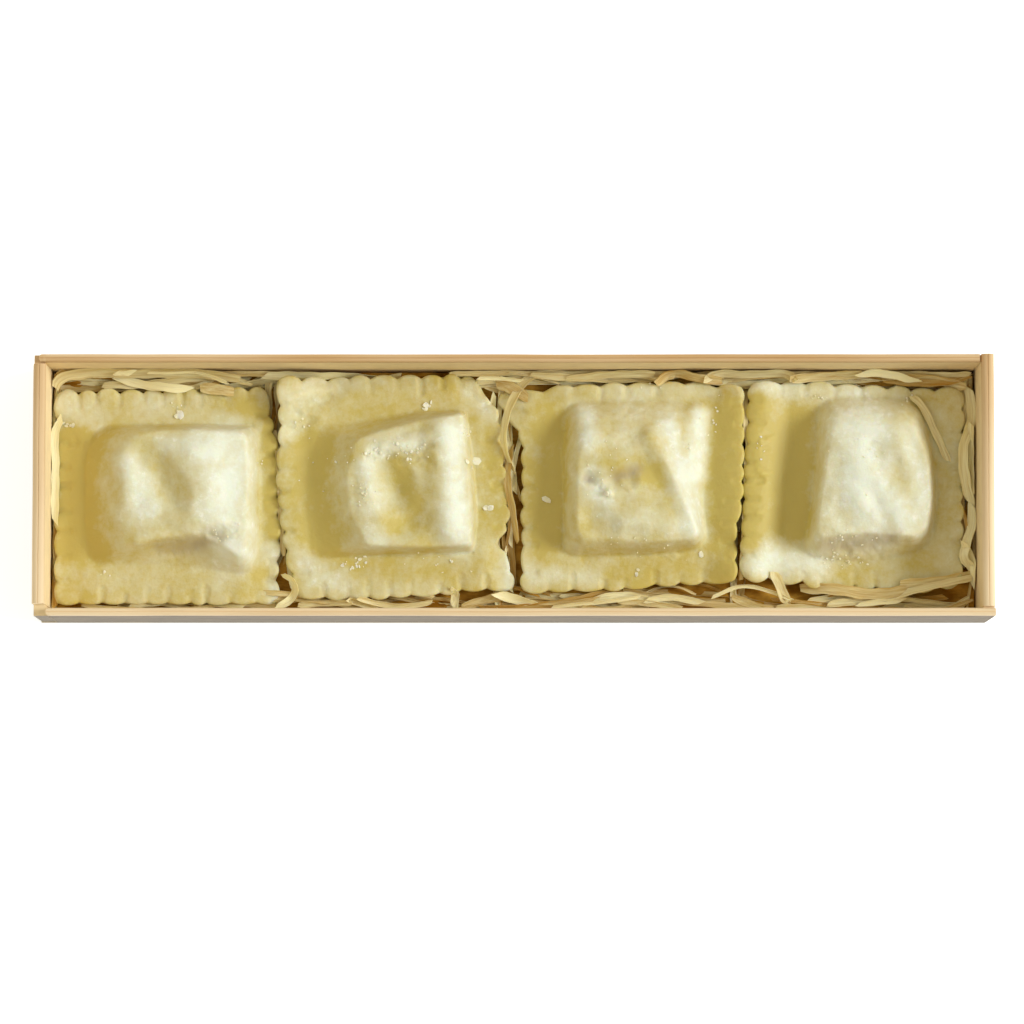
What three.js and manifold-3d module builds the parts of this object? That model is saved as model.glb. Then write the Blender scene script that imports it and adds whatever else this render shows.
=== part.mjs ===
// Four large ravioli in a slim open board tray, lying on a bed of cut paper strips.
// Millimetres. X runs along the tray, Y to its back, Z up; the origin is the middle of its underside.

import * as THREE from 'three';
import { mergeVertices } from 'three/addons/utils/BufferGeometryUtils.js';
import Module from 'manifold-3d';

// Driving dimensions

const tray = {
  length: 264,
  width: 72,
  height: 32,
  floor: 1.6,
  endWall: 3.4,
  backWall: 2.2,
  frontWall: 2.1,
  seam: 0.5, // between two rims that meet at a corner
  frontSeam: 1.2, // wider at the front left corner
  seamBed: 30.1, // the corners are filled up to here
  lowCorner: 27, // and less at the front left
  tuck: 0.2, // how far a corner's filling runs into the walls
};

const clearance = 0.35; // air left between pieces that only touch
const detail = 0.05; // edges shorter than this are dropped

const dough = {
  flangeTop: 13.6, // upper face of the pressed edge
  sheet: 2.2, // the two sheets pressed together
  lobes: 10, // scallops on each side
  lobeOut: 1.5, // how far a scallop stands out of the notches
  edgeRound: 0.6, // how far the upper edge is rounded down
  edgeShare: 0.14, // where the rounding starts, as a share of the way in to the foot
  edgeLobes: 0.7, // and how much of the scallops is left there
  riseSteps: 12, // steps in which a pillow is raised from its foot to its crest
};

const bed = {
  top: 11.05, // under the ravioli
  ripple: 1.1, // its hollows
  stepsX: 24,
  stepsY: 6,
  stripWidth: 2.6,
  stripThick: 0.6,
  stripBow: 2.4, // how far a strip's middle may stand up
  stripSink: 1.2, // how far its ends are tucked in
  stripSteps: 4,
  stripLean: 0.9, // the most a strip is rolled to one side, in radians
  shortest: 0.3, // a strip's length as a share of its run
  longest: 0.5,
  keepOff: 0.3, // more air between the heap's sides and a raviolo's edge
  headroom: 4, // nothing stands nearer than this to the top of the tray
  seed: 11,
};

const inner = {
  left: -tray.length / 2 + tray.endWall,
  right: tray.length / 2 - tray.endWall,
  front: -tray.width / 2 + tray.frontWall,
  back: tray.width / 2 - tray.backWall,
};

// The ravioli. Corners, foot and crest go round from front left: front left, front right, back right,
// back left. The pillow rises by `rise` between foot and crest, its slopes softened over `reach`.
// A bend moves the whole sheet and a swell only its upper face: each lifts the stretch `along` by
// `lift`, fading out to nothing over `reach`.

const ravioli = [
  {
    name: 'ravioli_1',
    corners: [[-126.5, -30.9], [-66.6, -30.7], [-69.0, 27.5], [-126.7, 26.5]],
    foot: [[-117, -18.6], [-73, -20.6], [-73, 13.8], [-116.5, 14]],
    crest: [[-106, -16.4], [-75.5, -13.2], [-74.5, 12.4], [-105.5, 11]],
    rise: 10.6,
    reach: 3.2,
    bends: [
      { along: [[-66.5, -22], [-65.5, -31]], reach: 10, lift: -1 },
      { along: [[-127, -14], [-127, 14]], reach: 9, lift: -1 },
    ],
    swells: [
      { along: [[-90, 7], [-88.5, -7]], reach: 16, lift: 2.6 },
      { along: [[-104.5, 11], [-102, 8]], reach: 8, lift: -1.4 },
      { along: [[-98, 6.8], [-96, 2.4]], reach: 8.5, lift: -2 },
      { along: [[-95, 0], [-93.6, -4]], reach: 8, lift: -2 },
      { along: [[-75.2, -13], [-74.4, -18]], reach: 6, lift: 1.2 },
    ],
  },
  {
    name: 'ravioli_2',
    corners: [[-58.9, -29.1], [-1.8, -26.6], [-8.0, 30.6], [-65.0, 29.9]],
    foot: [[-54, -15.6], [-13.4, -15.4], [-15.6, 18], [-54, 10.6]],
    crest: [[-42, -14.2], [-14.6, -14.2], [-16.8, 16.8], [-43, 10.6]],
    rise: 10.6,
    reach: 3,
    bends: [
      { along: [[-66, 31], [-65, 29]], reach: 17, lift: 6.5 },
      { along: [[-66, 24], [-61, -14]], reach: 8, lift: 1.6 },
      { along: [[-6.5, 32], [-8, 30]], reach: 9, lift: -1 },
      { along: [[-1.8, -17], [-0.6, -28]], reach: 7, lift: -1 },
    ],
    swells: [
      { along: [[-24, 13], [-21.5, -11]], reach: 10, lift: 2.6 },
      { along: [[-43, 10], [-42, -13]], reach: 5, lift: -1.4 },
      { along: [[-33.2, 6.5], [-31.5, 1]], reach: 7.5, lift: -1.7 },
      { along: [[-30, -1], [-28, -6.5]], reach: 7.5, lift: -2.2 },
    ],
  },
  {
    name: 'ravioli_3',
    corners: [[2.9, -26.4], [60.9, -24.9], [62.0, 28.5], [3.2, 27.1]],
    foot: [[14.5, -17.6], [51.6, -15.6], [54.4, 22.5], [14.2, 21.6]],
    crest: [[16.6, -15.2], [50.2, -14], [41, 18.5], [16.8, 18]],
    rise: 10.6,
    reach: 3,
    bends: [
      { along: [[62.4, -24], [63.4, 26]], reach: 10, lift: 3 },
      { along: [[16, 28.4], [46, 28.8]], reach: 7, lift: 0.8 },
    ],
    swells: [
      { along: [[38, 17], [46, 2], [49.6, -12.5]], reach: 10, lift: 1.3 },
      { along: [[16.6, 6], [16.8, -8]], reach: 7, lift: 0.6 },
      { along: [[18, 3], [21, 0.5]], reach: 7, lift: -1.2 },
      { along: [[27, 1.5], [34, 2]], reach: 8, lift: -1.8 },
    ],
  },
  {
    name: 'ravioli_4',
    corners: [[64.2, -23.9], [123.6, -24.5], [124.2, 27.3], [67.0, 29.2]],
    foot: [[78.6, -15.2], [115, -13.4], [111.4, 23.6], [84.4, 23.2]],
    crest: [[82.2, -11.4], [113.6, -11], [109.4, 18.6], [85.8, 18.8]],
    rise: 10.6,
    reach: 3.2,
    bends: [
      { along: [[63, -25], [66, 31]], reach: 11, lift: 6.4 },
      { along: [[66.4, 30], [80, 30]], reach: 6, lift: 0.6 },
    ],
    swells: [
      { along: [[98, 8], [98.6, -4]], reach: 18, lift: 2.6 },
      { along: [[86.6, 8], [85.4, -2]], reach: 8, lift: 0.9 },
      { along: [[112.6, 5], [113.2, -7]], reach: 8, lift: 0.8 },
    ],
  },
];

// Where strips show: each run lies between two ends and spreads over `spread` sideways.

const runs = [
  { from: [-126, 31.7, 14.4], to: [-70, 31.8, 16.4], spread: 2.2, strips: 5 },
  { from: [-66, 32.8, 13.2], to: [-6, 32.8, 13.6], spread: 0.6, strips: 1 },
  { from: [-6, 31.6, 14.2], to: [62, 31.8, 16.2], spread: 2, strips: 5 },
  { from: [66, 32.2, 14], to: [126, 31.4, 15.4], spread: 1.8, strips: 4 },
  { from: [127, 28, 14], to: [127, -30, 15.6], spread: 1.4, strips: 3 },
  { from: [-60, -32.2, 13.4], to: [0, -31, 14.2], spread: 1.8, strips: 4 },
  { from: [2, -30.6, 13.8], to: [64, -30.4, 15.6], spread: 3, strips: 4 },
  { from: [62, -30, 14], to: [126, -29.8, 15.4], spread: 3.4, strips: 6 },
  { from: [-2.6, 24, 12.8], to: [0.6, -20, 13.4], spread: 1.2, strips: 1 },
  { from: [-62.4, -12, 12.8], to: [-61.8, -31, 13.4], spread: 1, strips: 1 },
];

// Materials

const boardLook = new THREE.MeshStandardMaterial({ color: 0xdcbf8e, roughness: 0.72, metalness: 0 });
const stripLook = new THREE.MeshStandardMaterial({ color: 0xcdb27a, roughness: 0.66, metalness: 0 });
const doughLook = new THREE.MeshStandardMaterial({ color: 0xdfd49c, roughness: 0.6, metalness: 0 });

// Solids

const wasm = await Module();
wasm.setup();

function toSolid(geometry) {
  const bare = new THREE.BufferGeometry();
  bare.setAttribute('position', geometry.getAttribute('position').clone());
  bare.setIndex(geometry.getIndex());
  const merged = mergeVertices(bare, 1e-4);
  const vertProperties = new Float32Array(merged.getAttribute('position').array);
  const triVerts = new Uint32Array(merged.getIndex().array);
  return new wasm.Manifold(new wasm.Mesh({ numProp: 3, vertProperties, triVerts }));
}

function toGeometry(solid) {
  const result = solid.getMesh();
  const geometry = new THREE.BufferGeometry();
  geometry.setAttribute('position', new THREE.BufferAttribute(result.vertProperties, 3));
  geometry.setIndex(new THREE.BufferAttribute(result.triVerts, 1));
  geometry.computeVertexNormals();
  return geometry;
}

function largestPiece(solid) {
  const pieces = solid.decompose();
  pieces.sort((a, b) => b.volume() - a.volume());
  return pieces[0];
}

function block(x0, x1, y0, y1, z0, z1) {
  const geometry = new THREE.BoxGeometry(x1 - x0, y1 - y0, z1 - z0);
  geometry.translate((x0 + x1) / 2, (y0 + y1) / 2, (z0 + z1) / 2);
  return toSolid(geometry);
}

function mulberry(seed) {
  let state = seed;
  return () => {
    state = (state + 0x6d2b79f5) | 0;
    let t = Math.imul(state ^ (state >>> 15), 1 | state);
    t = (t + Math.imul(t ^ (t >>> 7), 61 | t)) ^ t;
    return ((t ^ (t >>> 14)) >>> 0) / 4294967296;
  };
}

// Tray

// A wall of folded board, upright from within the floor, with its top edge rolled round.
function rolledWall(run, thick) {
  const half = thick / 2;
  const section = new THREE.Shape();
  section.moveTo(-half, tray.floor / 2);
  section.lineTo(half, tray.floor / 2);
  section.lineTo(half, tray.height - half);
  section.absarc(0, tray.height - half, half, 0, Math.PI, false);
  section.closePath();
  return new THREE.ExtrudeGeometry(section, { depth: run, bevelEnabled: false, curveSegments: 8 });
}

// The wall's section stands in X and Z, and it runs along +Y or, turned, along +X.
function wallAlongY(x, y0, y1, thick) {
  const geometry = rolledWall(y1 - y0, thick);
  geometry.rotateX(Math.PI / 2);
  geometry.translate(x, y1, 0);
  return toSolid(geometry);
}

function wallAlongX(y, x0, x1, thick) {
  const geometry = rolledWall(x1 - x0, thick);
  geometry.rotateX(Math.PI / 2);
  geometry.rotateZ(Math.PI / 2);
  geometry.translate(x0, y, 0);
  return toSolid(geometry);
}

function makeTray() {
  const halfX = tray.length / 2;
  const halfY = tray.width / 2;
  const { endWall, backWall, frontWall, seam, frontSeam, seamBed, lowCorner, tuck } = tray;
  const leftFront = inner.front + frontSeam;
  const foot = tray.floor / 2;
  const parts = [
    block(-halfX, halfX, -halfY, halfY, 0, tray.floor),
    wallAlongX(halfY - backWall / 2, -halfX, inner.right - seam, backWall),
    wallAlongX(-halfY + frontWall / 2, inner.left + seam, halfX, frontWall),
    wallAlongY(-halfX + endWall / 2, leftFront, inner.back - seam, endWall),
    wallAlongY(halfX - endWall / 2, inner.front + seam, halfY, endWall),
    block(-halfX + tuck, inner.left - tuck, inner.back - seam - tuck, inner.back + tuck, foot, seamBed),
    block(inner.right - seam - tuck, inner.right + tuck, inner.back + tuck, halfY - tuck, foot, seamBed),
    block(inner.right + tuck, halfX - tuck, inner.front - tuck, inner.front + seam + tuck, foot, seamBed),
    block(-halfX + tuck, inner.left - tuck, -halfY + tuck, leftFront + tuck, foot, lowCorner),
    block(-halfX + tuck, inner.left + seam + tuck, -halfY + tuck, inner.front - tuck, foot, lowCorner),
  ];
  const body = parts.reduce((sum, part) => sum.add(part));
  return toGeometry(largestPiece(body).simplify(detail));
}

// Ravioli

function distanceToStretch(x, y, points) {
  let best = Infinity;
  for (let i = 0; i + 1 < points.length; i += 1) {
    const [ax, ay] = points[i];
    const [bx, by] = points[i + 1];
    const run = (bx - ax) ** 2 + (by - ay) ** 2;
    const t = THREE.MathUtils.clamp(((x - ax) * (bx - ax) + (y - ay) * (by - ay)) / run, 0, 1);
    best = Math.min(best, Math.hypot(x - ax - t * (bx - ax), y - ay - t * (by - ay)));
  }
  return best;
}

function insideQuad(x, y, quad) {
  return quad.every(([ax, ay], i) => {
    const [bx, by] = quad[(i + 1) % 4];
    return (bx - ax) * (y - ay) - (by - ay) * (x - ax) >= 0;
  });
}

// What is left of a lift at this distance: all of it at none, nothing past its reach.
function fade(distance, reach, lift) {
  const near = Math.max(0, 1 - distance / reach);
  return lift * near * near * (3 - 2 * near);
}

function sumPushes(x, y, pushes) {
  return pushes.reduce((sum, { along, reach, lift }) => {
    return sum + fade(distanceToStretch(x, y, along), reach, lift);
  }, 0);
}

// The pillow is a stack of quads, each smaller than the one below it.
function pillowAt(x, y, { foot, crest, rise, reach }) {
  let height = 0;
  for (let step = 0; step < dough.riseSteps; step += 1) {
    const quad = mixQuads(foot, crest, step / (dough.riseSteps - 1));
    const distance = insideQuad(x, y, quad) ? 0 : distanceToStretch(x, y, [...quad, quad[0]]);
    height += fade(distance, reach, rise / dough.riseSteps);
  }
  return height;
}

function bilinear(quad, u, v) {
  const front = [0, 1].map((k) => THREE.MathUtils.lerp(quad[0][k], quad[1][k], u));
  const back = [0, 1].map((k) => THREE.MathUtils.lerp(quad[3][k], quad[2][k], u));
  return [0, 1].map((k) => THREE.MathUtils.lerp(front[k], back[k], v));
}

// A ring of `count` places round a quad, each with the outward direction of its side.
function ringOf(quad, count) {
  const places = [];
  const perSide = count / 4;
  for (let side = 0; side < 4; side += 1) {
    const [ax, ay] = quad[side];
    const [bx, by] = quad[(side + 1) % 4];
    const run = Math.hypot(bx - ax, by - ay);
    for (let i = 0; i < perSide; i += 1) {
      const t = i / perSide;
      places.push({
        x: THREE.MathUtils.lerp(ax, bx, t),
        y: THREE.MathUtils.lerp(ay, by, t),
        out: [(by - ay) / run, -(bx - ax) / run],
        t,
      });
    }
  }
  return places;
}

// Half-round scallops between pointed notches.
function lobeAt(t) {
  const near = 1 - Math.abs(2 * ((t * dough.lobes) % 1) - 1);
  return Math.sqrt(near * (2 - near));
}

function scallopedRing(quad, share) {
  return ringOf(quad, 16 * dough.lobes).map(({ x, y, out, t }) => {
    const step = dough.lobeOut * lobeAt(t) * share;
    return [x + out[0] * step, y + out[1] * step];
  });
}

function mixQuads(a, b, share) {
  return a.map(([x, y], i) => [
    THREE.MathUtils.lerp(x, b[i][0], share),
    THREE.MathUtils.lerp(y, b[i][1], share),
  ]);
}

function plainRing(quad, count) {
  return ringOf(quad, count).map(({ x, y }) => [x, y]);
}

function quadMiddle(quad) {
  return bilinear(quad, 0.5, 0.5);
}

// Joins a ring of points to the next one inwards, which has as many points or half as many.
function stitch(faces, outer, outerCount, inward, inwardCount, flip) {
  const ratio = outerCount / inwardCount;
  const put = (a, b, c) => (flip ? faces.push(a, c, b) : faces.push(a, b, c));
  for (let i = 0; i < inwardCount; i += 1) {
    const a = outer + i * ratio;
    const b = outer + i * ratio + ratio - 1;
    const c = outer + ((i + 1) * ratio) % outerCount;
    const d = inward + i;
    const e = inward + ((i + 1) % inwardCount);
    if (ratio === 2) {
      put(a, b, d);
      put(b, c, e);
      put(b, e, d);
    } else {
      put(a, c, e);
      put(a, e, d);
    }
  }
}

function closeRing(faces, start, count, middle, flip) {
  for (let i = 0; i < count; i += 1) {
    const a = start + i;
    const b = start + ((i + 1) % count);
    if (flip) {
      faces.push(a, middle, b);
    } else {
      faces.push(a, b, middle);
    }
  }
}

function makeRaviolo(raviolo) {
  const { corners, foot, crest, bends, swells } = raviolo;
  const positions = [];
  const faces = [];
  const full = 16 * dough.lobes;
  const middle = quadMiddle(crest);
  const centre = crest.map(() => middle);

  const sheetTop = (x, y) => dough.flangeTop + sumPushes(x, y, bends);
  const topZ = (x, y) => sheetTop(x, y) + pillowAt(x, y, raviolo) + sumPushes(x, y, swells);
  const underZ = (x, y) => Math.max(bed.top + clearance, sheetTop(x, y) - dough.sheet);

  const addRing = (ring, height) => {
    const start = positions.length / 3;
    ring.forEach(([x, y]) => positions.push(x, y, height(x, y)));
    return start;
  };

  const edgeQuad = mixQuads(corners, foot, dough.edgeShare);
  const between = (a, b, share, count) => ({ ring: plainRing(mixQuads(a, b, share), count), drop: 0 });
  const upper = [
    { ring: scallopedRing(corners, 1), drop: dough.edgeRound },
    { ring: scallopedRing(edgeQuad, dough.edgeLobes), drop: 0 },
    between(corners, foot, 0.5, full / 2),
    between(corners, foot, 0.75, full / 2),
    between(foot, crest, 0, full / 2),
    between(foot, crest, 0.5, full / 2),
    between(foot, crest, 1, full / 2),
    between(crest, centre, 0.25, full / 2),
    between(crest, centre, 0.5, full / 4),
    between(crest, centre, 0.75, full / 8),
  ];
  const lower = [
    { ring: scallopedRing(corners, 1), drop: -dough.edgeRound / 2 },
    between(corners, foot, 0.5, full / 2),
    between(corners, foot, 1, full / 4),
  ];

  const stack = (rings, height, flip) => {
    const starts = rings.map(({ ring, drop }) => addRing(ring, (x, y) => height(x, y) - drop));
    for (let i = 0; i + 1 < rings.length; i += 1) {
      stitch(faces, starts[i], rings[i].ring.length, starts[i + 1], rings[i + 1].ring.length, flip);
    }
    const hub = addRing([middle], height);
    closeRing(faces, starts.at(-1), rings.at(-1).ring.length, hub, flip);
    return starts[0];
  };

  const topEdge = stack(upper, topZ, false);
  const underEdge = stack(lower, underZ, true);
  stitch(faces, underEdge, full, topEdge, full, false);

  const geometry = new THREE.BufferGeometry();
  geometry.setAttribute('position', new THREE.Float32BufferAttribute(positions, 3));
  geometry.setIndex(faces);
  return toGeometry(toSolid(geometry).simplify(detail));
}

// Paper strips

// A flat strip along a run of points, rolled about its own line.
function makeStrip(points, width, thick, roll) {
  const curve = new THREE.CatmullRomCurve3(points);
  const positions = [];
  const faces = [];
  for (let i = 0; i <= bed.stripSteps; i += 1) {
    const t = i / bed.stripSteps;
    const place = curve.getPoint(t);
    const along = curve.getTangent(t);
    const level = new THREE.Vector3(-along.y, along.x, 0).normalize();
    const side = level.clone().applyAxisAngle(along, roll).multiplyScalar(width / 2);
    const face = new THREE.Vector3().crossVectors(along, side).normalize().multiplyScalar(thick / 2);
    for (const [s, f] of [[-1, -1], [1, -1], [1, 1], [-1, 1]]) {
      positions.push(...place.clone().addScaledVector(side, s).addScaledVector(face, f).toArray());
    }
  }
  for (let i = 0; i < bed.stripSteps; i += 1) {
    for (let k = 0; k < 4; k += 1) {
      const a = 4 * i + k;
      const b = 4 * i + ((k + 1) % 4);
      faces.push(a, b, b + 4, a, b + 4, a + 4);
    }
  }
  const last = 4 * bed.stripSteps;
  faces.push(0, 3, 2, 0, 2, 1, last, last + 1, last + 2, last, last + 2, last + 3);
  const geometry = new THREE.BufferGeometry();
  geometry.setAttribute('position', new THREE.Float32BufferAttribute(positions, 3));
  geometry.setIndex(faces);
  return toSolid(geometry);
}

function rippleAt(x, y) {
  const waves = Math.sin(x * 0.31 + y * 0.22) + Math.sin(x * 0.13 - y * 0.41 + 1.7);
  return (bed.ripple * (waves - 2)) / 4;
}

// The packed strips under the ravioli, as one slab with an uneven top.
function makeBedCore() {
  const x0 = inner.left + clearance;
  const x1 = inner.right - clearance;
  const y0 = inner.front + clearance;
  const y1 = inner.back - clearance;
  const low = tray.floor + clearance;
  const slab = new THREE.BoxGeometry(x1 - x0, y1 - y0, bed.top - low, bed.stepsX, bed.stepsY, 1);
  slab.translate((x0 + x1) / 2, (y0 + y1) / 2, (low + bed.top) / 2);
  const place = slab.getAttribute('position');
  for (let i = 0; i < place.count; i += 1) {
    if (place.getZ(i) > bed.top - 0.01) {
      place.setZ(i, bed.top + rippleAt(place.getX(i), place.getY(i)));
    }
  }
  return toSolid(slab);
}

// What a raviolo keeps free of strips: its outline, a little wider, upwards from the bed.
function keepOut(corners) {
  const grow = dough.lobeOut + clearance + bed.keepOff;
  const [cx, cy] = quadMiddle(corners);
  const outline = new THREE.Shape();
  corners.forEach(([x, y], i) => {
    const px = x + Math.sign(x - cx) * grow;
    const py = y + Math.sign(y - cy) * grow;
    if (i === 0) {
      outline.moveTo(px, py);
    } else {
      outline.lineTo(px, py);
    }
  });
  outline.closePath();
  const geometry = new THREE.ExtrudeGeometry(outline, { depth: tray.height, bevelEnabled: false });
  geometry.translate(0, 0, bed.top + clearance / 3);
  return toSolid(geometry);
}

function makeShred() {
  const random = mulberry(bed.seed);
  const spread = (amount) => (2 * random() - 1) * amount;
  let heap = makeBedCore();
  for (const run of runs) {
    const from = new THREE.Vector3(...run.from);
    const to = new THREE.Vector3(...run.to);
    const across = new THREE.Vector3(from.y - to.y, to.x - from.x, 0).normalize();
    for (let i = 0; i < run.strips; i += 1) {
      const start = (i - 0.2 + 0.2 * random()) / run.strips;
      const share = THREE.MathUtils.lerp(bed.shortest, bed.longest, random());
      const lean = spread(bed.stripLean);
      const shift = spread(run.spread / 2);
      const points = [0, 0.35, 0.7, 1].map((t, k) => {
        const place = from.clone().lerp(to, THREE.MathUtils.clamp(start + share * t, 0, 1));
        place.addScaledVector(across, shift + spread(run.spread / 3));
        place.z = k === 1 || k === 2 ? place.z + bed.stripBow * random() : bed.top - bed.stripSink;
        return place;
      });
      heap = heap.add(makeStrip(points, bed.stripWidth, bed.stripThick, lean));
    }
  }
  const room = block(
    inner.left + clearance, inner.right - clearance,
    inner.front + clearance, inner.back - clearance,
    tray.floor + clearance, tray.height - bed.headroom,
  );
  heap = heap.intersect(room);
  for (const { corners } of ravioli) {
    heap = heap.subtract(keepOut(corners));
  }
  return toGeometry(largestPiece(heap).simplify(detail));
}

// The whole part

function addMesh(group, name, geometry, material) {
  const mesh = new THREE.Mesh(geometry, material);
  mesh.name = name;
  group.add(mesh);
}

const part = new THREE.Group();
addMesh(part, 'tray', makeTray(), boardLook);
addMesh(part, 'shred', makeShred(), stripLook);
for (const raviolo of ravioli) {
  addMesh(part, raviolo.name, makeRaviolo(raviolo), doughLook.clone());
}

export default part;
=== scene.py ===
# Four large ravioli in a slim open board tray, lying on a bed of cut paper strips.

import math
import random

import bmesh
import bpy
import numpy as np
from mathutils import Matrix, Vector
from mathutils.bvhtree import BVHTree


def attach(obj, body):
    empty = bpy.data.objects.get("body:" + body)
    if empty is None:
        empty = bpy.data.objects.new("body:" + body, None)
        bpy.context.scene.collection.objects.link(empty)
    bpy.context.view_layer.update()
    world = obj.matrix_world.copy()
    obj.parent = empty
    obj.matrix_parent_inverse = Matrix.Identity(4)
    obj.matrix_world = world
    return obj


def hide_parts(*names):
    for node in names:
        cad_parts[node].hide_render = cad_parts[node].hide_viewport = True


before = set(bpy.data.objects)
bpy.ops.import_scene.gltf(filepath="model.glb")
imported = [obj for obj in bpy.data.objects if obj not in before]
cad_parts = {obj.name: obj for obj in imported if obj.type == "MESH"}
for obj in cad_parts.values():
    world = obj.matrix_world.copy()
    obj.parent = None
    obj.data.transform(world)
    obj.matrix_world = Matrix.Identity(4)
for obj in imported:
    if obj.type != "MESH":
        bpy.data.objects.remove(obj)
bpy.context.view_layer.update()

mm = 0.001
flat = 0.001  # sheets are shaped at a thousandth of their height, so that every reach is measured flat


# Materials: one socket of a node tree, with sums and products written as plain Python

class Flow:
    def __init__(self, tree, socket=None):
        self.tree = tree
        self.socket = socket

    def node(self, kind, settings=None, inputs=None, out=0):
        made = self.tree.nodes.new(kind)
        for name, value in (settings or {}).items():
            setattr(made, name, value)
        for name, value in (inputs or {}).items():
            if isinstance(value, Flow):
                self.tree.links.new(value.socket, made.inputs[name])
            else:
                made.inputs[name].default_value = value
        return Flow(self.tree, made.outputs[out])

    def sums(self, how, first, second):
        return self.node("ShaderNodeMath", {"operation": how}, {0: first, 1: second})

    def __add__(self, other):
        return self.sums("ADD", self, other)

    def __radd__(self, other):
        return self.sums("ADD", other, self)

    def __sub__(self, other):
        return self.sums("SUBTRACT", self, other)

    def __rsub__(self, other):
        return self.sums("SUBTRACT", other, self)

    def __mul__(self, other):
        return self.sums("MULTIPLY", self, other)

    def __rmul__(self, other):
        return self.sums("MULTIPLY", other, self)

    def step(self, low, high, start=0.0, end=1.0):
        # eases from start to end while this goes from low to high
        ends = {"Value": self, "From Min": low, "From Max": high, "To Min": start, "To Max": end}
        return self.node("ShaderNodeMapRange", {"interpolation_type": "SMOOTHSTEP"}, ends)

    def noise(self, perMetre, detail=2.0, roughness=0.5, stretch=(1, 1, 1)):
        spread = self.node("ShaderNodeMapping", None, {"Vector": self, "Scale": stretch})
        look = {"Vector": spread, "Scale": perMetre, "Detail": detail, "Roughness": roughness}
        return self.node("ShaderNodeTexNoise", None, look)

    def blend(self, first, second):
        # the mix of two colours or sockets, by this
        how = {"data_type": "RGBA", "clamp_factor": True}
        return self.node("ShaderNodeMix", how, {0: self, 6: first, 7: second}, out=2)

    def shade(self, colours):
        # the mix of two sRGB colours, by this
        return self.blend(*(colour(*one) for one in colours))

    def bump(self, strength, depth):
        look = {"Height": self, "Strength": strength, "Distance": depth}
        return self.node("ShaderNodeBump", None, look)

    def axis(self, name):
        return self.node("ShaderNodeSeparateXYZ", None, {0: self}, out="XYZ".index(name))

    def attribute(self, name):
        return self.node("ShaderNodeAttribute", {"attribute_name": name}, out=2)


def colour(red, green, blue):
    # sRGB 0 to 255 as the linear colour that nodes take
    def linear(value):
        value /= 255
        return value / 12.92 if value <= 0.04045 else ((value + 0.055) / 1.055) ** 2.4
    return (linear(red), linear(green), linear(blue), 1.0)


def newMaterial(name, fixed):
    material = bpy.data.materials.new(name)
    material.use_nodes = True
    shader = material.node_tree.nodes["Principled BSDF"]
    for socket, value in fixed.items():
        shader.inputs[socket].default_value = value
    return material, Flow(material.node_tree).node("ShaderNodeTexCoord", out=3)


def wire(material, flows):
    for name, flow in zip(("Base Color", "Normal", "Roughness"), flows):
        shader = material.node_tree.nodes["Principled BSDF"]
        material.node_tree.links.new(flow.socket, shader.inputs[name])
    return material


# Modelling helpers

def addObject(name, data):
    made = bpy.data.objects.new(name, data)
    bpy.context.scene.collection.objects.link(made)
    return made


def setMode(mode):
    bpy.ops.object.mode_set(mode=mode)


def clearSelection():
    if bpy.context.mode != "OBJECT":
        setMode("OBJECT")
    bpy.ops.object.select_all(action="DESELECT")


def finish(piece, material, slotName, *nodes):
    piece.data.materials.append(material)
    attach(piece, "root")
    if nodes:
        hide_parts(*nodes)


def useModifier(piece, kind, **settings):
    bpy.context.view_layer.objects.active = piece
    modifier = piece.modifiers.new(kind.title(), kind)
    for name, value in settings.items():
        setattr(modifier, name, value)
    bpy.ops.object.modifier_apply(modifier=modifier.name)


def selectAll():
    bpy.ops.mesh.select_all(action="SELECT")


def extrude(height):
    bpy.ops.mesh.extrude_region_move(TRANSFORM_OT_translate={"value": (0, 0, height)})


def faceOut():
    selectAll()
    bpy.ops.mesh.normals_make_consistent(inside=False)


def nameGroup(piece, name):
    # what is selected becomes a vertex group
    piece.vertex_groups.new(name=name)
    bpy.ops.object.vertex_group_assign()


def drag(move, reach, falloff):
    # moves what is selected, and less and less what lies within reach of it
    bpy.ops.transform.translate(
        value=move, use_proportional_edit=True, proportional_edit_falloff=falloff,
        proportional_size=reach * mm,
    )


def ruffle(piece, waves, group, direction="Z"):
    # soft random waves, each (size, height) in millimetres
    for size, height in waves:
        texture = bpy.data.textures.new("wave", "CLOUDS")
        texture.noise_scale = size * mm
        texture.noise_depth = 1
        useModifier(
            piece, "DISPLACE", texture=texture, texture_coords="LOCAL", vertex_group=group,
            direction=direction, mid_level=0.5, strength=height * mm,
        )


# Camera and light

view = {
    "place": (-0.0004, -0.1228, 1.3856),
    "tilt": 0.0849,
    "lens": 174.28,
    "sensor": 36,
    "points": 1024,  # along each side of its square picture
    # name, degrees from +X towards +Y, degrees up, how wide, how strong, colour
    "lamps": (
        ("window", 3.0, 34.5, 20.0, 2.1, (0.985, 1.0, 0.97)),
        ("fill", 180.0, 40.0, 60.0, 0.28, (1.0, 0.93, 0.72)),
    ),
    "sky": (1.0, 0.92, 0.73),
    "skyPower": 0.57,
}


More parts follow.
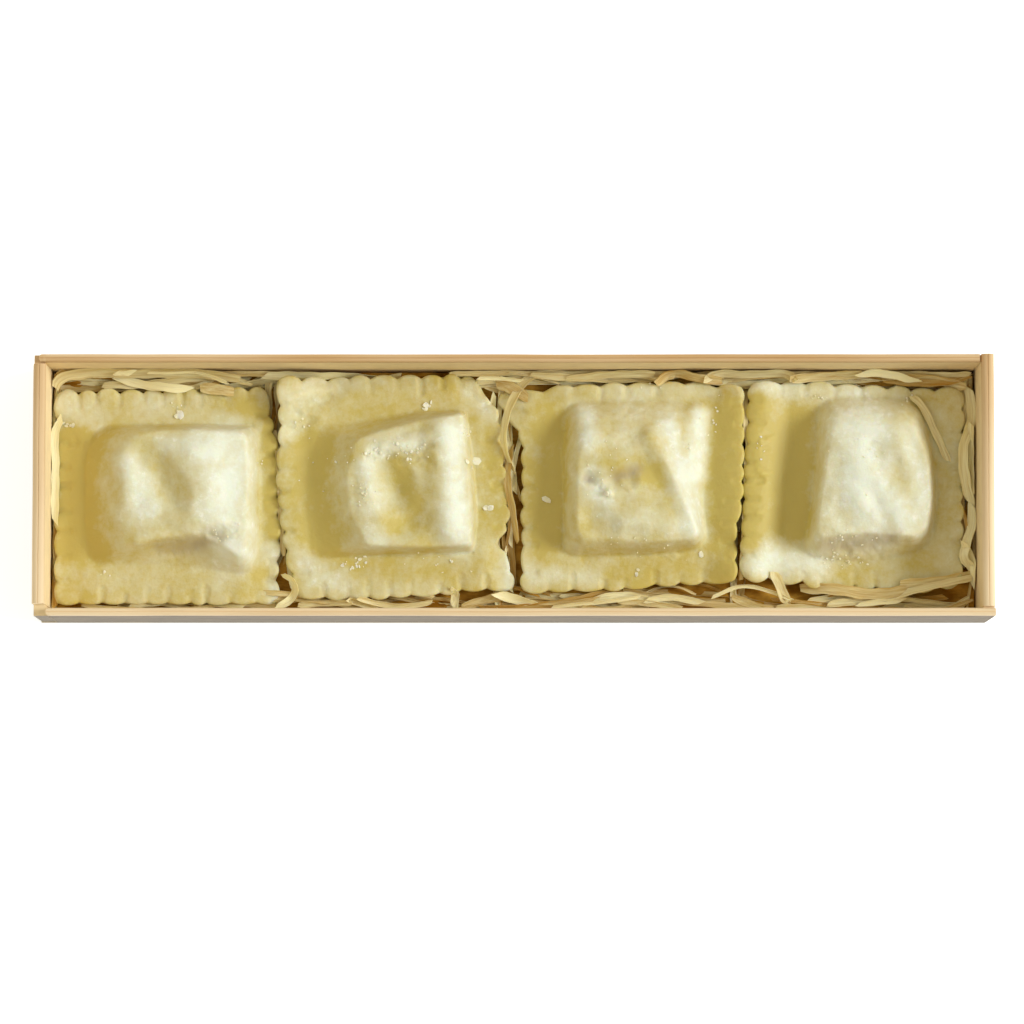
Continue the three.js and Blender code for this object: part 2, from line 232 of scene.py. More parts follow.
def makeView():
    camera = addObject("camera", bpy.data.cameras.new("camera"))
    camera.location = view["place"]
    camera.rotation_euler = (view["tilt"], 0, 0)
    camera.data.lens = view["lens"]
    camera.data.sensor_width = view["sensor"]
    camera.data.clip_start = 0.05
    bpy.context.scene.camera = camera

    for name, around, up, wide, power, tint in view["lamps"]:
        around, up = math.radians(around), math.radians(up)
        towards = Vector(
            (math.cos(up) * math.cos(around), math.cos(up) * math.sin(around), math.sin(up))
        )
        light = bpy.data.lights.new(name, "SUN")
        light.energy = power
        light.angle = math.radians(wide)
        light.color = tint
        addObject(name, light).rotation_euler = towards.to_track_quat("Z", "Y").to_euler()

    world = bpy.data.worlds.new("studio")
    world.use_nodes = True
    sky = world.node_tree.nodes["Background"]
    sky.inputs["Color"].default_value = (*view["sky"], 1)
    sky.inputs["Strength"].default_value = view["skyPower"]
    bpy.context.scene.world = world
    bpy.context.scene.view_settings.view_transform = "Standard"


def makeFloor():
    clearSelection()
    bpy.ops.mesh.primitive_plane_add(size=6)
    floor = bpy.context.object
    floor.name = "floor"
    material = newMaterial("paleFloor", {
        "Base Color": (0.97, 0.97, 0.97, 1), "Roughness": 0.9, "Specular IOR Level": 0.0,
        "Emission Color": (0.9, 0.95, 1, 1), "Emission Strength": 0.6,
    })[0]
    floor.data.materials.append(material)


print("camera and light")
makeView()
makeFloor()


# Ravioli

dough = {
    "flangeTop": 13.6,
    "sheet": 2.2,
    "lobeShare": 0.18,  # how unevenly a side is shared out among its lobes
    "lobeOut": (0.75, 1.25),
    "lobeLift": (0.0, 0.32),
    "notchReach": 1.3,
    "notchLength": 3.2,
    "notchLong": (0.4, 1.2),  # from which share of that length to which
    "notchDrop": 0.32,
    "notchDeep": (0.3, 1.3),  # from which share of that drop to which
    "edgeDrop": 0.38,
    "edgeReach": 0.8,
    "cuts": (9, 19),  # twice subdivided, 200 quads along each side
    "touch": (0.35, 0.2),  # what moves with a stretch: how near it, or how much past the nearest
    "pillow": 0.7,  # the share of the way from foot to crest where lumps begin
    "riseSteps": 32,
    "risePower": 1.5,  # above one, steps are finer towards the crest
    "riseReach": 1.0,
    "crownSteps": 7,
    "crownShare": 0.85,  # how near the crown's steps come to its middle
    "crownReach": 4.5,
    "smooth": 6,
    "smoothFrom": 1.5,  # the share of the way from crest to foot where smoothing begins
    "wrinkle": (0.12, 0.32),
    "wrinkleReach": 1.0,
    "wrinkleTurn": 0.8,
    "wrinkleLength": (1.2, 3.5),
    "underside": 0.04,  # the share of its faces that it keeps
    "waves": ((12.0, 0.8), (4.0, 0.14), (1.5, 0.05)),
    "lumps": ((8.0, 0.8),),
    "lumpBlur": 60,
    "seed": 5,
    # the flour patches push the dough towards the bare colour as painted shade and towards the floury
    # one as painted light
    "colours": ((204, 187, 107), (235, 240, 228)),  # bare and floury
    "dustColour": (248, 249, 242),
    # the grey brown of filling showing through, also used as painted shade under the left raviolo's
    # front crease
    "fillingAndShadeColour": (164, 144, 116),
    "paleHeights": (0.0150, 0.0225),  # in metres
}

# Corners go front left, front right, back right, back left, and lobes are how many each side has and
# how far they stand out. Foot and crest are the pillow's outline below and above, in the same order.
# Ease is the wall's shape at each of their corners: above one it is round at its crest, below one
# hollow at its foot. Round is how far corners are cut, and rise how high the crest stands and how much
# more the crown. Nudges move the flat sheet, bends lift all of it and swells only its upper face: each
# is the points of the stretch that is moved, how far that reaches, and the move. The flour patches are
# where flour lies, or where the dough is bare if it is below none, and they also paint light and shade:
# painted highlights on facets that face the lamp, and painted shade in cast shadows, in dimples and on
# flanges in the tray wall's shadow. The stain patches are where the filling shows through, and along
# the left raviolo's front crease they are painted shade.
# Wrinkles are a place, how far around it they start, and how many.
leftRaviolo = {
    "name": "raviolo_left",
    "node": "ravioli_1",
    "corners": [(-126.7, -31.2), (-66.2, -31.1), (-68.8, 27.7), (-127, 26.7)],
    "lobes": ((10, 0.7), (10, 1.1), (10, 1.35), (9, 0.8)),
    "foot": [
        (-117, -20), (-105.5, -20.4), (-91, -21), (-83, -21.8), (-73.1, -22.9), (-70.7, -15.3),
        (-70.8, 3.3), (-71.6, 17.7), (-85.3, 18), (-98.3, 18), (-115, 17.4), (-118.8, 9.8),
        (-118.7, -9.7),
    ],
    "crest": [
        (-105, -15.8), (-96, -13.7), (-85.5, -12.3), (-79.8, -15.8), (-74.6, -19.4), (-73.8, -15.1),
        (-73.8, 2.4), (-74.4, 14.5), (-84.7, 15.1), (-96.7, 15.3), (-103.4, 14), (-104.8, 8.9),
        (-105, -8.7),
    ],
    "ease": (1.3, 0.7, 0.65, 0.9, 1.6, 1.7, 1.7, 1.7, 1.7, 1.7, 1.6, 1.6, 1.6),
    "crown": (-86, 2),
    "round": 1.8,
    "rise": (8.6, 1.8),
    "nudges": [((-67.5, 10), (-66.6, -12), 16, (1.7, 0))],
    "bends": [
        ((-66.5, -22), (-65.5, -31), 10, -1.6), ((-127, -14), (-127, 14), 9, -1.2),
        ((-110, 28), (-85, 28), 7, -0.6),
    ],
    "swells": [
        ((-87.5, 9), (-86.5, -6), 11, 1.8), ((-107.5, 7), (-106.5, -2), 5, 0.8),
        ((-101.5, 8.5), (-98, 3.5), (-94, -2.5), 6.5, -1.7), ((-96.5, 0.5), (-94.5, -2.5), 4, -0.4),
        ((-103, -14.2), (-92, -12.2), (-80, -10.4), 3, 0.6), ((-78.5, -17), (-76, -15), 5.5, 0.8),
        ((-98, -17), (-87, -15.5), 2.6, -0.8), ((-86, -12.8), (-77.5, -11.3), 2, -0.5),
        ((-99, 18.1), (-86, 18.1), (-73, 17.9), 1, -0.4),
    ],
    "wrinkles": [((-85, -13.5), (6, 1.2), 7), ((-121, 13), (4, 1.5), 3)],
    "flourAndPaintedLight": [
        ((-79.5, 12), (-79, -16), 14, 0.85), ((-106, 5.5), (-102, -5.5), 7, 0.8),
        ((-76, -18.5), (-75, -19), 6, 0.4), ((-67, -16.5), (-66, -31), 4, 0.6),
        ((-67.5, 16), (-67, -12), 5, -0.5), ((-125.5, 23.5), (-118, 20), 8, 0.3),
        ((-107, 23.5), (-87.5, 23.5), 6, 0.25), ((-122, 13.5), (-122, -15.5), 8, -0.7),
        ((-96, 12.5), (-90, 13), 5, 0.5), ((-98, 6), (-92, -2), 5.5, -0.05),
        ((-94, 10), (-84, 10), 5, 0.3), ((-115.5, 12.5), (-115, -16.5), 5, -0.2),
        ((-70, -23.5), (-70.5, -24), 6, -0.5), ((-76.5, 23.5), (-68.5, 20.5), 6, -0.3),
    ],
    "fillingAndPaintedShade": [
        ((-98, -16.5), (-89, -15.4), (-80, -12.8), 3.5, 0.45), ((-92, -17), (-86, -16), 3.5, 0.25),
    ],
}

midLeftRaviolo = {
    "name": "raviolo_midleft",
    "node": "ravioli_2",
    "corners": [(-59.4, -29.6), (-1.6, -26.9), (-7.7, 30.8), (-65.2, 30.1)],
    "lobes": ((9, 0.9), (10, 0.9), (9, 1.2), (10, 1)),
    "foot": [
        (-56, -18.5), (-42.1, -17.6), (-27.3, -17.2), (-11.3, -16.6), (-10.6, -6), (-11.7, 8),
        (-13.6, 21.8), (-25.5, 21.9), (-36.7, 19.5), (-53.5, 18), (-57, 7), (-57.4, -6),
    ],
    "crest": [
        (-40, -15.6), (-34.5, -16), (-23.5, -16.5), (-12, -16), (-11.5, -6.8), (-12.5, 7),
        (-14.5, 20.2), (-25.3, 18.4), (-34.5, 16), (-43, 13), (-45.8, 4.2), (-44.8, -6.8),
    ],
    "ease": (0.7, 1.3, 1.5, 1.5, 1.5, 1.5, 1.4, 0.9, 0.8, 0.7, 0.7, 0.7),
    "crown": (-25, 1),
    "round": 0.9,
    "rise": (8.8, 1.4),
    "nudges": [
        ((-62, 4), (-60, -14), 18, (-2.3, 0)), ((-5.5, 22), (-4, -4), 12, (2.2, 0)),
        ((-7.2, 31), (-7, 30), 7, (-1.5, -1.7)), ((-2.2, -14.2), (-2.2, -14.6), 3, (-1.8, 0)),
        ((-45, 30.5), (-18, 31), 10, (0, 0.7)), ((-45, -29), (-25, -28.5), 12, (0, -0.9)),
        ((-1.5, -21), (-1, -26), 5, (1.2, -0.4)),
    ],
    "bends": [
        ((-66, 31), (-65, 29), 17, 5.4), ((-66, 24), (-61, -14), 8, 1.6),
        ((-6.5, 32), (-8, 30), 9, -1.4), ((-1.8, -17), (-0.6, -28), 7, -1.4),
        ((-50, -28), (-30, -28), 6, 0.5),
    ],
    "swells": [
        ((-19.8, 15), (-17.4, -11), 7, 2.2), ((-40.5, 8), (-39, -11), 5, 0.7),
        ((-35.5, 6.5), (-33, -1), 7, -1.5), ((-32, -1), (-29.5, -8.5), 7.5, -2.7),
        ((-62, 24.5), (-50, 29), 2, 0.5), ((-60.5, 21.5), (-51.5, 26), 1.8, -0.4),
        ((-63, 17), (-60, 23), 2, -0.4), ((-50, 29.5), (-57.5, 22.5), (-60, 16), 5, -1),
        ((-36, 11), (-24, 14.5), 2.2, 0.5), ((-37, -17.8), (-24, -17.6), (-11.8, -16.9), 1, -0.45),
    ],
    "wrinkles": [((-32, 10), (9, 2.5), 12), ((-58, 22), (4, 4), 5)],
    "flourAndPaintedLight": [
        ((-17, 15.5), (-15.5, -14), 7, 0.85), ((-63.5, 15), (-62, 26), (-51.5, 29.5), 6, 0.35),
        ((-57, -21), (-49.5, -26), 7, 0.5), ((-13, 28.5), (-7, 22), 5, 0.5),
        ((-1, -16.5), (-1.5, -26.5), 4, 0.7), ((-41, 6), (-37, -14), 5, 0.6),
        ((-39, 10), (-26, 13), 4, 0.5), ((-32, -14), (-20, -13), 4, 0.3),
        ((-38, -9), (-34, -11), 5, -0.55), ((-55, 11), (-54, -13.5), 9, -0.5),
        ((-32.5, 7), (-27.5, -4.5), 4.5, -0.6), ((-30, -11), (-24, -13), 5, -0.3),
        ((-6, 12.5), (-5.5, -9), 5, -0.2), ((-42, -22), (-20, -22), 5, -0.25),
    ],
    "fillingAndPaintedShade": [],
}

midRightRaviolo = {
    "name": "raviolo_midright",
    "node": "ravioli_3",
    "corners": [(2.8, -26.9), (61.2, -25.1), (62.2, 28.7), (2.9, 27.3)],
    "lobes": ((8, 1), (10, 0.75), (8, 1), (10, 0.85)),
    "foot": [
        (14.4, -17.8), (26.8, -17.9), (39.7, -17.4), (53.2, -15.6), (51.9, -4.1), (53.2, 9.8),
        (54.6, 23.8), (41.7, 24.8), (28.7, 24.8), (15.3, 24), (13.9, 12.6), (14.2, -4.1),
    ],
    "crest": [
        (18.4, -12.6), (28, -13.8), (39.8, -14.6), (51, -14), (48.7, -6.8), (43.4, 4.2), (38.5, 14.5),
        (33, 12.5), (27, 12.4), (20.6, 12.8), (18.6, 8), (18, -5),
    ],
    "ease": (1.6, 1.6, 1.5, 1.3, 1, 0.9, 0.9, 1.6, 2.1, 2, 1.7, 1.7),
    "crown": (30, -2),
    "round": 1.8,
    "rise": (9.6, 0.8),
    "nudges": [
        ((2.9, 27.3), (2.6, 26.5), 14, (-6.4, -0.3)), ((61.5, 25), (61.2, 0), 12, (1.5, 0)),
        ((18, 27.5), (48, 28.3), 12, (0, 1.4)), ((4, -26.4), (30, -26), 12, (0, -1)),
    ],
    "bends": [
        ((62.4, -24), (63.4, 26), 10, 3), ((16, 28.4), (46, 28.8), 7, 0.8),
        ((-4, 28), (-4, 24), 10, -1.2),
    ],
    "swells": [
        ((38, 15), (41, 8), (44, 2), (47.5, -5), (50, -12), 4, 0.7),
        ((51.4, 21), (51, 12), (50.2, 4), 5, 1.1), ((21, 2.6), (21.2, 2.2), 2.6, -1.2),
        ((28.5, 1.6), (32, 2), 3.2, -1.2), ((26.2, -1.4), (26.4, -1.7), 1.6, 1.2),
        ((35.2, 5), (39.5, 1.6), 7, -1.4), ((22, -9), (24.5, -12), 6, -1.4),
        ((21, 13.5), (20.5, 11), 5, 0.8), ((28, 17), (33, 15), 5, -0.7),
        ((31, -9), (43, -10.5), 5, 0.9), ((14.3, 16), (14.1, 1), (14.3, -15.7), 1, -0.45),
        ((27, -17.6), (36, -17.8), (45, -16.8), 1, -0.4),
    ],
    "wrinkles": [((25, 1), (5, 2.5), 6), ((36, -17), (8, 1), 4)],
    "flourAndPaintedLight": [
        ((43, 17), (47, 6), (50, -11), 6.5, 0.95), ((52, 20.5), (51, 5.6), 5, 0.95),
        ((20, 23), (44, 22), 5, 0.35), ((22, 12), (34, 12), 6, 0.3), ((20.5, 20), (20, 14.5), 6, 0.5),
        ((22.5, 2.5), (25.5, -6.5), 6, 0.6), ((30, -10), (43.5, -11), 6, 0.4),
        ((5.5, -24), (21.5, -24), 5, 0.5), ((24.5, 27.5), (55, 28), 4, 0.35),
        ((60, 20.5), (60, -24), 9, -0.55), ((26, 7), (36, 5), 7, -0.35), ((19, 21), (21, 15), 4, 0.3),
        ((9, 18), (9, -14.5), 8, -0.35), ((39, 4), (40, 2), 6, -0.45), ((46, 19), (47.5, 9), 2.5, -0.3),
        ((30, -22.5), (57.5, -23.5), 6, -0.1),
    ],
    "fillingAndPaintedShade": [
        ((20.2, 2.6), (20.6, 2.2), 2.6, 0.8), ((28.5, 3), (34, 4.8), 3.6, 0.75),
        ((22.5, -10.5), (24, -11.5), 3.5, 0.25),
    ],
}

rightRaviolo = {
    "name": "raviolo_right",
    "node": "ravioli_4",
    "corners": [(64, -24.2), (124, -24.8), (124.8, 27.5), (66.7, 29.4)],
    "lobes": ((8, 1.9), (10, 0.85), (8, 1.15), (10, 1)),
    "foot": [
        (80.8, -18), (92.4, -19.8), (104.5, -18.8), (114.6, -15.7), (117, -4.1), (116.6, 9.8),
        (112.6, 24.4), (102, 25.8), (92.7, 26), (85.4, 24.6), (85, 12.6), (83.3, -4.1),
    ],
    "crest": [
        (83.6, -13.8), (94.5, -12.2), (103.5, -12.6), (112.6, -13.6), (115, -5), (114.2, 8.9),
        (108.5, 19), (101, 17), (95.5, 16.8), (89, 16.8), (87, 9.5), (84.9, -3),
    ],
    "ease": (1.3, 0.9, 0.9, 1.2, 1.3, 1.3, 1.6, 1.8, 1.8, 1.7, 1.4, 1.2),
    "crown": (99, 3),
    "round": 2.2,
    "rise": (9, 1.5),
    "nudges": [
        ((65, -18), (66, 25), 8, (-0.6, 0)), ((88, -24), (115, -24.5), 14, (0, -1.9)),
        ((80, 28.5), (100, 28), 10, (0, 0.6)),
    ],
    "bends": [
        ((65.5, -24), (68.5, 30), 9, 2.9), ((66.4, 30), (80, 30), 6, 0.6),
        ((66, -24), (82, -24), 7, 0.8),
    ],
    "swells": [
        ((94, 9), (94.6, -4), 9, 0.5), ((78, 17), (76.5, -8), 7, -0.8), ((99.5, 12), (101, 8), 4, -0.6),
        ((104, 6), (105.5, 3), 4.5, -0.5), ((91, -6), (92, -8), 4.5, -0.7),
        ((97.5, -1), (99, -3), 4, -0.5), ((88, -15.5), (104, -15.5), 3, -0.9),
        ((105, -5), (109, -11.5), 5, 0.6), ((116.4, 10), (117.4, -2), (116.6, -11), 1, -0.45),
        ((96, -3), (99.5, -8), 3, 0.5), ((106, 14), (108, 9), 3.5, 0.4),
    ],
    "wrinkles": [((96, -15.5), (10, 2.6), 24), ((68, 6), (1.5, 16), 8)],
    "flourAndPaintedLight": [
        ((96, 15), (98, -8), 19, 0.9), ((95, 4), (96, -1), 5, 0.35), ((106, -5), (108, -10), 5, 0.35),
        ((110, 14), (113.5, 0.5), (113, -11.5), 6, 0.65), ((68, 24), (66, -16), 5, -0.9),
        ((74.5, 15), (73.5, -7), 6, -0.5), ((68.5, -18.5), (84, -20.5), 9, 0.95),
        ((69, 29.5), (80, 28.5), 6, 0.5), ((87, 28), (109, 26.5), 5, 0.4),
        ((78.5, 19), (77.5, -10), 8, -0.6), ((120.5, 20.5), (122, -18.5), 9, 0.15),
        ((105.5, 5), (106, 4), 4.5, -0.2), ((91, -7), (92, -8), 4, -0.35),
        ((99.5, 12), (101, 9), 4, -0.35),
    ],
    "fillingAndPaintedShade": [((87, -15.8), (96, -15.2), (104, -13.8), 4, 0.5)],
}


def nearStretch(places, stretch):
    # distance of each place to a run of points
    best = np.full(len(places), np.inf)
    for start, end in zip(stretch, stretch[1:]):
        start, end = np.array(start, float), np.array(end, float)
        run = end - start
        share = np.clip(((places - start) @ run) / (run @ run), 0, 1)
        best = np.minimum(best, np.linalg.norm(places - start - share[:, None] * run, axis=1))
    return best


def insideOutline(places, outline):
    # whether each place lies within a closed outline, by counting the sides it passes
    x, y = places[:, 0], places[:, 1]
    inside = np.zeros(len(places), bool)
    for (ax, ay), (bx, by) in zip(outline, outline[1:] + outline[:1]):
        if ay != by:
            crosses = (ay > y) != (by > y)
            inside ^= crosses & (x < ax + (y - ay) * (bx - ax) / (by - ay))
    return inside


def cutCorners(outline, far):
    # rounds an outline, twice over, by this much along its sides
    for cut in (far, far / 3):
        rounded = []
        for last, corner, after in zip(outline[-1:] + outline[:-1], outline, outline[1:] + outline[:1]):
            corner = Vector(corner)
            for other in (Vector(last), Vector(after)):
                side = other - corner
                rounded.append(tuple(corner + side * min(cut / max(side.length, cut), 0.33)))
        outline = rounded
    return outline


def mixOutlines(first, second, share):
    return [tuple(a + (b - a) * share for a, b in zip(*pair)) for pair in zip(first, second)]


def wallOutline(plan, share):
    # the outline of a pillow's wall at this share of its height
    outline = []
    for foot, crest, ease in zip(plan["foot"], plan["crest"], plan["ease"]):
        inward = share ** ease if ease < 1 else 1 - (1 - share) ** (1 / ease)
        outline.append(tuple(a + (b - a) * inward for a, b in zip(foot, crest)))
    return cutCorners(outline, plan["round"])


class Sheet:
    # the mesh in edit mode, with its places in millimetres
    def __init__(self):
        self.read()

    def read(self):
        mesh = bmesh.from_edit_mesh(bpy.context.object.data)
        self.places = np.array([vert.co[:2] for vert in mesh.verts]) / mm

    def choose(self, wanted):
        bpy.ops.mesh.select_all(action="DESELECT")
        mesh = bmesh.from_edit_mesh(bpy.context.object.data)
        mesh.verts.ensure_lookup_table()
        for index in np.flatnonzero(wanted):
            vert = mesh.verts[index]
            vert.select = not vert.hide
        mesh.select_flush_mode()

    def pull(self, wanted, move, reach, falloff="SMOOTH"):
        self.choose(wanted)
        drag((move[0] * mm, move[1] * mm, move[2] * mm * flat), reach, falloff)

    def push(self, *stretch, reach, move):
        near = nearStretch(self.places, stretch)
        touch, more = dough["touch"]
        if not isinstance(move, tuple):
            move = (0, 0, move)
        self.pull(near < max(touch, near.min() + more), (*move, 0)[:3], reach)

    def pushAll(self, rows):
        for *stretch, reach, move in rows:
            self.push(*stretch, reach=reach, move=move)


def scallop(sheet, plan, chance):
    # rounded lobes with pointed notches along the four sides, each a little different
    for side, (count, far) in enumerate(plan["lobes"]):
        start, end = Vector(plan["corners"][side]), Vector(plan["corners"][(side + 1) % 4])
        out = Vector((end.y - start.y, start.x - end.x)).normalized()
        uneven = dough["lobeShare"]
        cuts = [0] + [lobe + chance.uniform(-uneven, uneven) for lobe in range(1, count)] + [count]
        for left, right in zip(cuts, cuts[1:]):
            width = (end - start).length * (right - left) / count
            middle = start.lerp(end, (left + right) / 2 / count)
            step = out * far * chance.uniform(*dough["lobeOut"])
            lift = chance.uniform(*dough["lobeLift"])
            near = np.linalg.norm(sheet.places - np.array(middle), axis=1)
            sheet.pull(near <= near.min() + 0.01, (step.x, step.y, lift), width / 2, "INVERSE_SQUARE")
            notch = start.lerp(end, left / count)
            inner = notch - out * dough["notchLength"] * chance.uniform(*dough["notchLong"])
            drop = -dough["notchDrop"] * chance.uniform(*dough["notchDeep"])
            sheet.push(tuple(notch), tuple(inner), reach=dough["notchReach"], move=drop)


def raisePillow(sheet, plan):
    # step by step from foot to crest, and then on towards the crown
    rise, crown = plan["rise"]
    steps = dough["riseSteps"]
    shares = [1 - (1 - step / steps) ** dough["risePower"] for step in range(steps + 1)]
    for low, high in zip(shares, shares[1:]):
        inside = insideOutline(sheet.places, wallOutline(plan, (low + high) / 2))
        sheet.pull(inside, (0, 0, rise * (high - low)), dough["riseReach"])
    middle = [plan["crown"]] * len(plan["crest"])
    for step in range(dough["crownSteps"]):
        share = dough["crownShare"] * (step + 1) / dough["crownSteps"]
        outline = cutCorners(mixOutlines(plan["crest"], middle, share), plan["round"])
        inside = insideOutline(sheet.places, outline)
        sheet.pull(inside, (0, 0, crown / dough["crownSteps"]), dough["crownReach"])


def wrinkle(sheet, plan, chance):
    # short fine creases around a few places
    for (x, y), (dx, dy), count in plan["wrinkles"]:
        for _ in range(count):
            start = Vector((x + chance.uniform(-dx, dx), y + chance.uniform(-dy, dy)))
            turn = chance.uniform(-dough["wrinkleTurn"], dough["wrinkleTurn"])
            length = chance.uniform(*dough["wrinkleLength"])
            end = start + Vector((math.cos(turn), math.sin(turn))) * length
            lift = chance.choice((-1, 1)) * chance.uniform(*dough["wrinkle"])
            sheet.push(tuple(start), tuple(end), reach=dough["wrinkleReach"], move=lift)


def makeRaviolo(plan, chance):
    clearSelection()
    bpy.ops.mesh.primitive_plane_add(size=2 * mm)
    piece = bpy.context.object
    piece.name = plan["name"]
    setMode("EDIT")
    bpy.ops.mesh.select_mode(type="VERT")
    sheet = Sheet()
    for (x, y), corner in zip(plan["corners"], [(-1, -1), (1, -1), (1, 1), (-1, 1)]):
        sheet.choose(np.all(sheet.places.round() == corner, axis=1))
        bpy.ops.transform.translate(value=((x - corner[0]) * mm, (y - corner[1]) * mm, 0))
    for cuts in dough["cuts"]:
        selectAll()
        bpy.ops.mesh.subdivide(number_cuts=cuts)
    sheet.read()
    scallop(sheet, plan, chance)
    for row in plan["nudges"]:
        sheet.read()
        sheet.pushAll([row])
    sheet.read()
    sheet.pushAll(plan["bends"])

    # the upper face is raised off the lower one, which is then left alone
    selectAll()
    extrude(dough["sheet"] * mm * flat)
    nameGroup(piece, "upper")
    bpy.ops.mesh.hide(unselected=True)
    sheet.read()
    lumpy = mixOutlines(plan["foot"], plan["crest"], dough["pillow"])
    sheet.choose(insideOutline(sheet.places, lumpy))
    nameGroup(piece, "pillow")
    selectAll()
    bpy.ops.object.vertex_group_smooth(
        group_select_mode="ACTIVE", factor=0.5, repeat=dough["lumpBlur"]
    )
    raisePillow(sheet, plan)
    smooth = mixOutlines(plan["crest"], plan["foot"], dough["smoothFrom"])
    sheet.choose(insideOutline(sheet.places, smooth))
    bpy.ops.mesh.vertices_smooth(factor=0.5, repeat=dough["smooth"])
    sheet.pushAll(plan["swells"])
    wrinkle(sheet, plan, chance)
    selectAll()
    bpy.ops.mesh.region_to_loop()
    drag((0, 0, -dough["edgeDrop"] * mm * flat), dough["edgeReach"], "SHARP")
    bpy.ops.mesh.reveal(select=False)

    # full height, faces outwards, and fewer faces underneath
    selectAll()
    bpy.ops.transform.resize(value=(1, 1, 1 / flat), center_override=(0, 0, 0))
    bpy.ops.transform.translate(value=(0, 0, (dough["flangeTop"] - dough["sheet"]) * mm))
    faceOut()
    bpy.ops.mesh.select_mode(type="FACE")
    bpy.ops.mesh.select_all(action="DESELECT")
    mesh = bmesh.from_edit_mesh(piece.data)
    for face in mesh.faces:
        face.select = face.normal.z < -0.5
    bmesh.update_edit_mesh(piece.data)
    bpy.ops.mesh.decimate(ratio=dough["underside"])
    setMode("OBJECT")
    ruffle(piece, dough["waves"], "upper")
    ruffle(piece, dough["lumps"], "pillow")
    bpy.ops.object.shade_smooth()
    return piece


def sprinkle(piece, name, patches):
    # how much there is of something at each place, for the material
    places = np.array([vert.co[:2] for vert in piece.data.vertices]) / mm
    amount = np.zeros(len(places))
    for *stretch, reach, lift in patches:
        near = np.clip(1 - nearStretch(places, stretch) / reach, 0, 1)
        amount += lift * near * near * (3 - 2 * near)
    layer = piece.data.attributes.new(name, "FLOAT", "POINT")
    layer.data.foreach_set("value", np.clip(amount, -1, 1))


def makeDough():
    material, place = newMaterial("freshDough", {
        "Specular IOR Level": 0.34, "Subsurface Weight": 0.5,
        "Subsurface Radius": (1.0, 0.75, 0.35), "Subsurface Scale": 0.0022,
    })
    flourAndPaintedLight = place.attribute("flourAndPaintedLight")
    fillingAndShade = place.attribute("fillingAndPaintedShade")
    high = place.axis("Z").step(*dough["paleHeights"])
    mottle = place.noise(110, 3, 0.5)
    flour = place.noise(420, 6, 0.7)
    grain = place.noise(1100, 3, 0.6)
    streaks = place.noise(520, 4, 0.65, (1, 0.35, 1))
    # paler with height, mottling and the flour patches, which also hold painted highlights on
    # lamp-facing facets and painted shade in shadows and dimples
    pale = 0.2 + high * 0.1 + flourAndPaintedLight * 0.75 + (mottle - 0.5) * 0.95
    pale = pale + (flour - 0.5) * 0.8 + (streaks - 0.5) * 0.2
    body = pale.shade(dough["colours"])
    dusting = flour.step(0.54, 0.72) * pale.step(0.4, 0.9) * 0.6
    body = dusting.blend(body, colour(*dough["dustColour"]))
    # grey brown where the filling shows through, and painted shade along the left raviolo's front
    # crease
    body = (fillingAndShade * (0.3 + flour * 0.9)).blend(body, colour(*dough["fillingAndShadeColour"]))
    bump = (grain * 0.4 + flour + streaks * 0.3).bump(0.5, 0.0004)
    return wire(material, (body, bump, 0.42 + flour * 0.2 + pale * 0.15))


print("ravioli")
doughFinish = makeDough()
doughPieces = []
for plan in (leftRaviolo, midLeftRaviolo, midRightRaviolo, rightRaviolo):
    piece = makeRaviolo(plan, random.Random(dough["seed"] + len(doughPieces)))
    sprinkle(piece, "flourAndPaintedLight", plan["flourAndPaintedLight"])
    sprinkle(piece, "fillingAndPaintedShade", plan["fillingAndPaintedShade"])
    finish(piece, doughFinish, "dough", plan["node"])
    doughPieces.append(piece)


# Bed of paper strips

bed = {
    "room": (-128.2, -33.5, 128.2, 33.4),  # what the walls leave free
    "low": 2.0,
    "top": 9.0,
    "rest": 11.2,  # strips on top lie at least this high
    "grid": (180, 48),
    "waves": ((7.0, 2.4), (2.4, 1.2)),
    "under": 10.6,  # where a raviolo lies above, strips stay below this
    "wallGap": 0.8,
    "thick": 0.1,
    "cup": 0.3,
    "taper": 0.32,  # how much narrower a strip gets at its ends
    "endPower": 12,  # how near its ends that starts
    "sway": (0.08, 9),  # how much its width wavers, and how far apart that is from strip to strip
    "slant": 2,  # of its ends
    "step": 1.2,
    "across": 4,
    "seed": 21,
    # loose strips only
    "width": (0.7, 2.5),
    "length": (16, 44),
    "bow": 3.2,
    "turn": 0.14,
    "uneven": (-1.0, 0.8),
    "roll": 60,
    "tones": (0, 1.05),
    # dark and pale
    "paper": ((180, 132, 42), (255, 244, 192)),
    # the core's colours are darker than the strips' as painted shade deep in the pile
    "heap": ((142, 94, 18), (208, 160, 66)),
}

# Where loose strips fill the gaps: two corners of each band, how many, and how high they lie.
gaps = [
    ((-126, 28.5), (126, 31), 26, (9.0, 11.6)),
    ((-126, 31.4), (126, 33), 38, (10.5, 13.5)),
    ((-124, -33), (126, -28), 52, (9.0, 12.2)),
    ((-67, -30), (-62, 30), 12, (9.4, 11.6)),
    ((-6, -30), (2.5, 30), 20, (9.4, 11.6)),
    ((61, -30), (66, 30), 12, (9.4, 11.6)),
    ((124, -30), (127, 30), 14, (9.0, 12.5)),
    ((-128, -30), (-126.8, 30), 12, (9.0, 12.0)),
]

